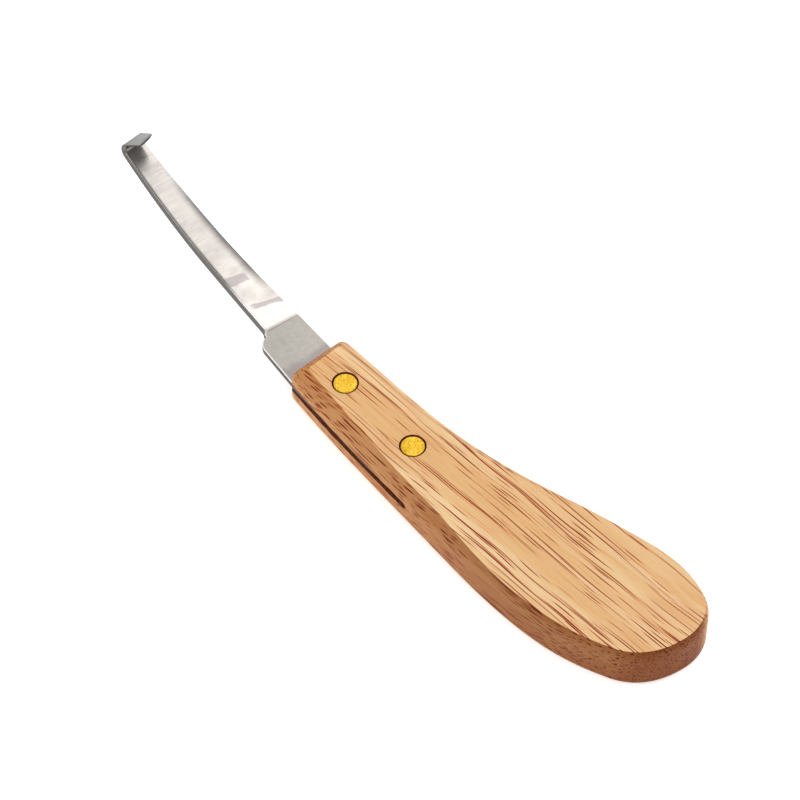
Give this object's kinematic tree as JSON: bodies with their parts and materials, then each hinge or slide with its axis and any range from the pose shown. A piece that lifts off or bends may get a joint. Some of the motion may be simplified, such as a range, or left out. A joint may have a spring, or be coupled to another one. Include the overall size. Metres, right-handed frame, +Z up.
{
  "type": "hoof knife",
  "caption": "Farrier's hoof knife: narrow upswept steel blade with a hooked tip, its tang let into a slotted, flared wooden handle and held by flush brass rivets.",
  "frame": {"origin": "on the underside face of the handle, midway between the two rivets", "axes": "+X along the knife towards the hooked tip, +Z up out of the handle's top face, the side to which the blade sweeps and the hook turns, +Y towards the cutting edge"},
  "size_m": [0.205, 0.0428, 0.0196],
  "materials": {
    "steel": "stainless steel, blade ground bright, ricasso and tang left as rolled",
    "wood": "light open-grained hardwood with brown pores, sanded and thinly oiled",
    "brass": "bright yellow brass with a fine pressed texture on the heads"
  },
  "bodies": {
    "root": {"blade": "steel", "handle": "wood", "front_rivet_male": "brass", "front_rivet_female": "brass", "rear_rivet_male": "brass", "rear_rivet_female": "brass"}
  },
  "joints": []
}
